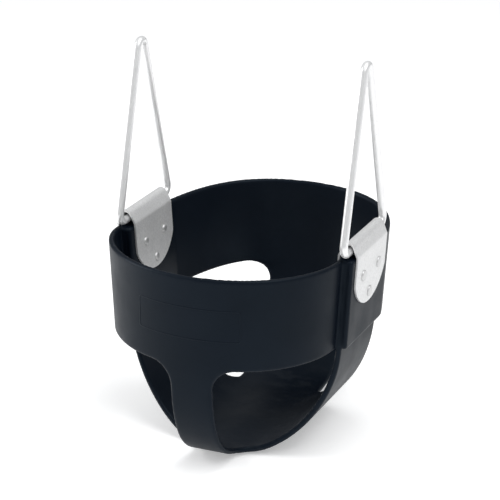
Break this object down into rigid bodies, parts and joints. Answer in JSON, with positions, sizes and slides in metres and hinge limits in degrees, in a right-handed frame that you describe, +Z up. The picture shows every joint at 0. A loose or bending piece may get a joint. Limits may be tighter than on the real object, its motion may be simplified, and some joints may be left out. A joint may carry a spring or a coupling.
{
  "type": "toddler bucket swing",
  "caption": "Full-bucket toddler swing seat in dark moulded rubber, with folded steel side brackets, rivets and tall triangular wire hangers that turn in the brackets.",
  "frame": {"origin": "on the seat's flat underside, midway between the two side brackets, straight below the hangers' axes", "axes": "+Z up; -Y to the front, where the crotch strap and the child's legs are; +X to the right-hand bracket as seen from the front"},
  "size_m": [0.2552, 0.31, 0.3867],
  "materials": {
    "rubber": "satin moulded, blue-black",
    "spring_steel": "plain rolled strip, hidden in the rubber",
    "bracket_steel": "satin sheet with brighter cut edges",
    "rivet_steel": "satin, low domed heads",
    "wire_steel": "bright drawn and plated round wire"
  },
  "bodies": {
    "seat": {"front_apron": "rubber", "rear_apron": "rubber", "seat_sling": "rubber", "front_insert": "spring_steel", "rear_insert": "spring_steel", "sling_insert": "spring_steel", "left_bracket": "bracket_steel", "right_bracket": "bracket_steel", "left_rivet_front": "rivet_steel", "left_rivet_rear": "rivet_steel", "left_rivet_low": "rivet_steel", "right_rivet_front": "rivet_steel", "right_rivet_rear": "rivet_steel", "right_rivet_low": "rivet_steel"},
    "left_hanger": {"left_hanger": "wire_steel"},
    "right_hanger": {"right_hanger": "wire_steel"}
  },
  "joints": [
    {"name": "left_hanger_swing", "type": "hinge", "parent": "seat", "child": "left_hanger", "pos_m": [-0.117, 0, 0.2113], "axis": [0, 1, 0], "range_deg": [-100, 40]},
    {"name": "right_hanger_swing", "type": "hinge", "parent": "seat", "child": "right_hanger", "pos_m": [0.117, 0, 0.2113], "axis": [0, 1, 0], "range_deg": [-40, 100]}
  ]
}
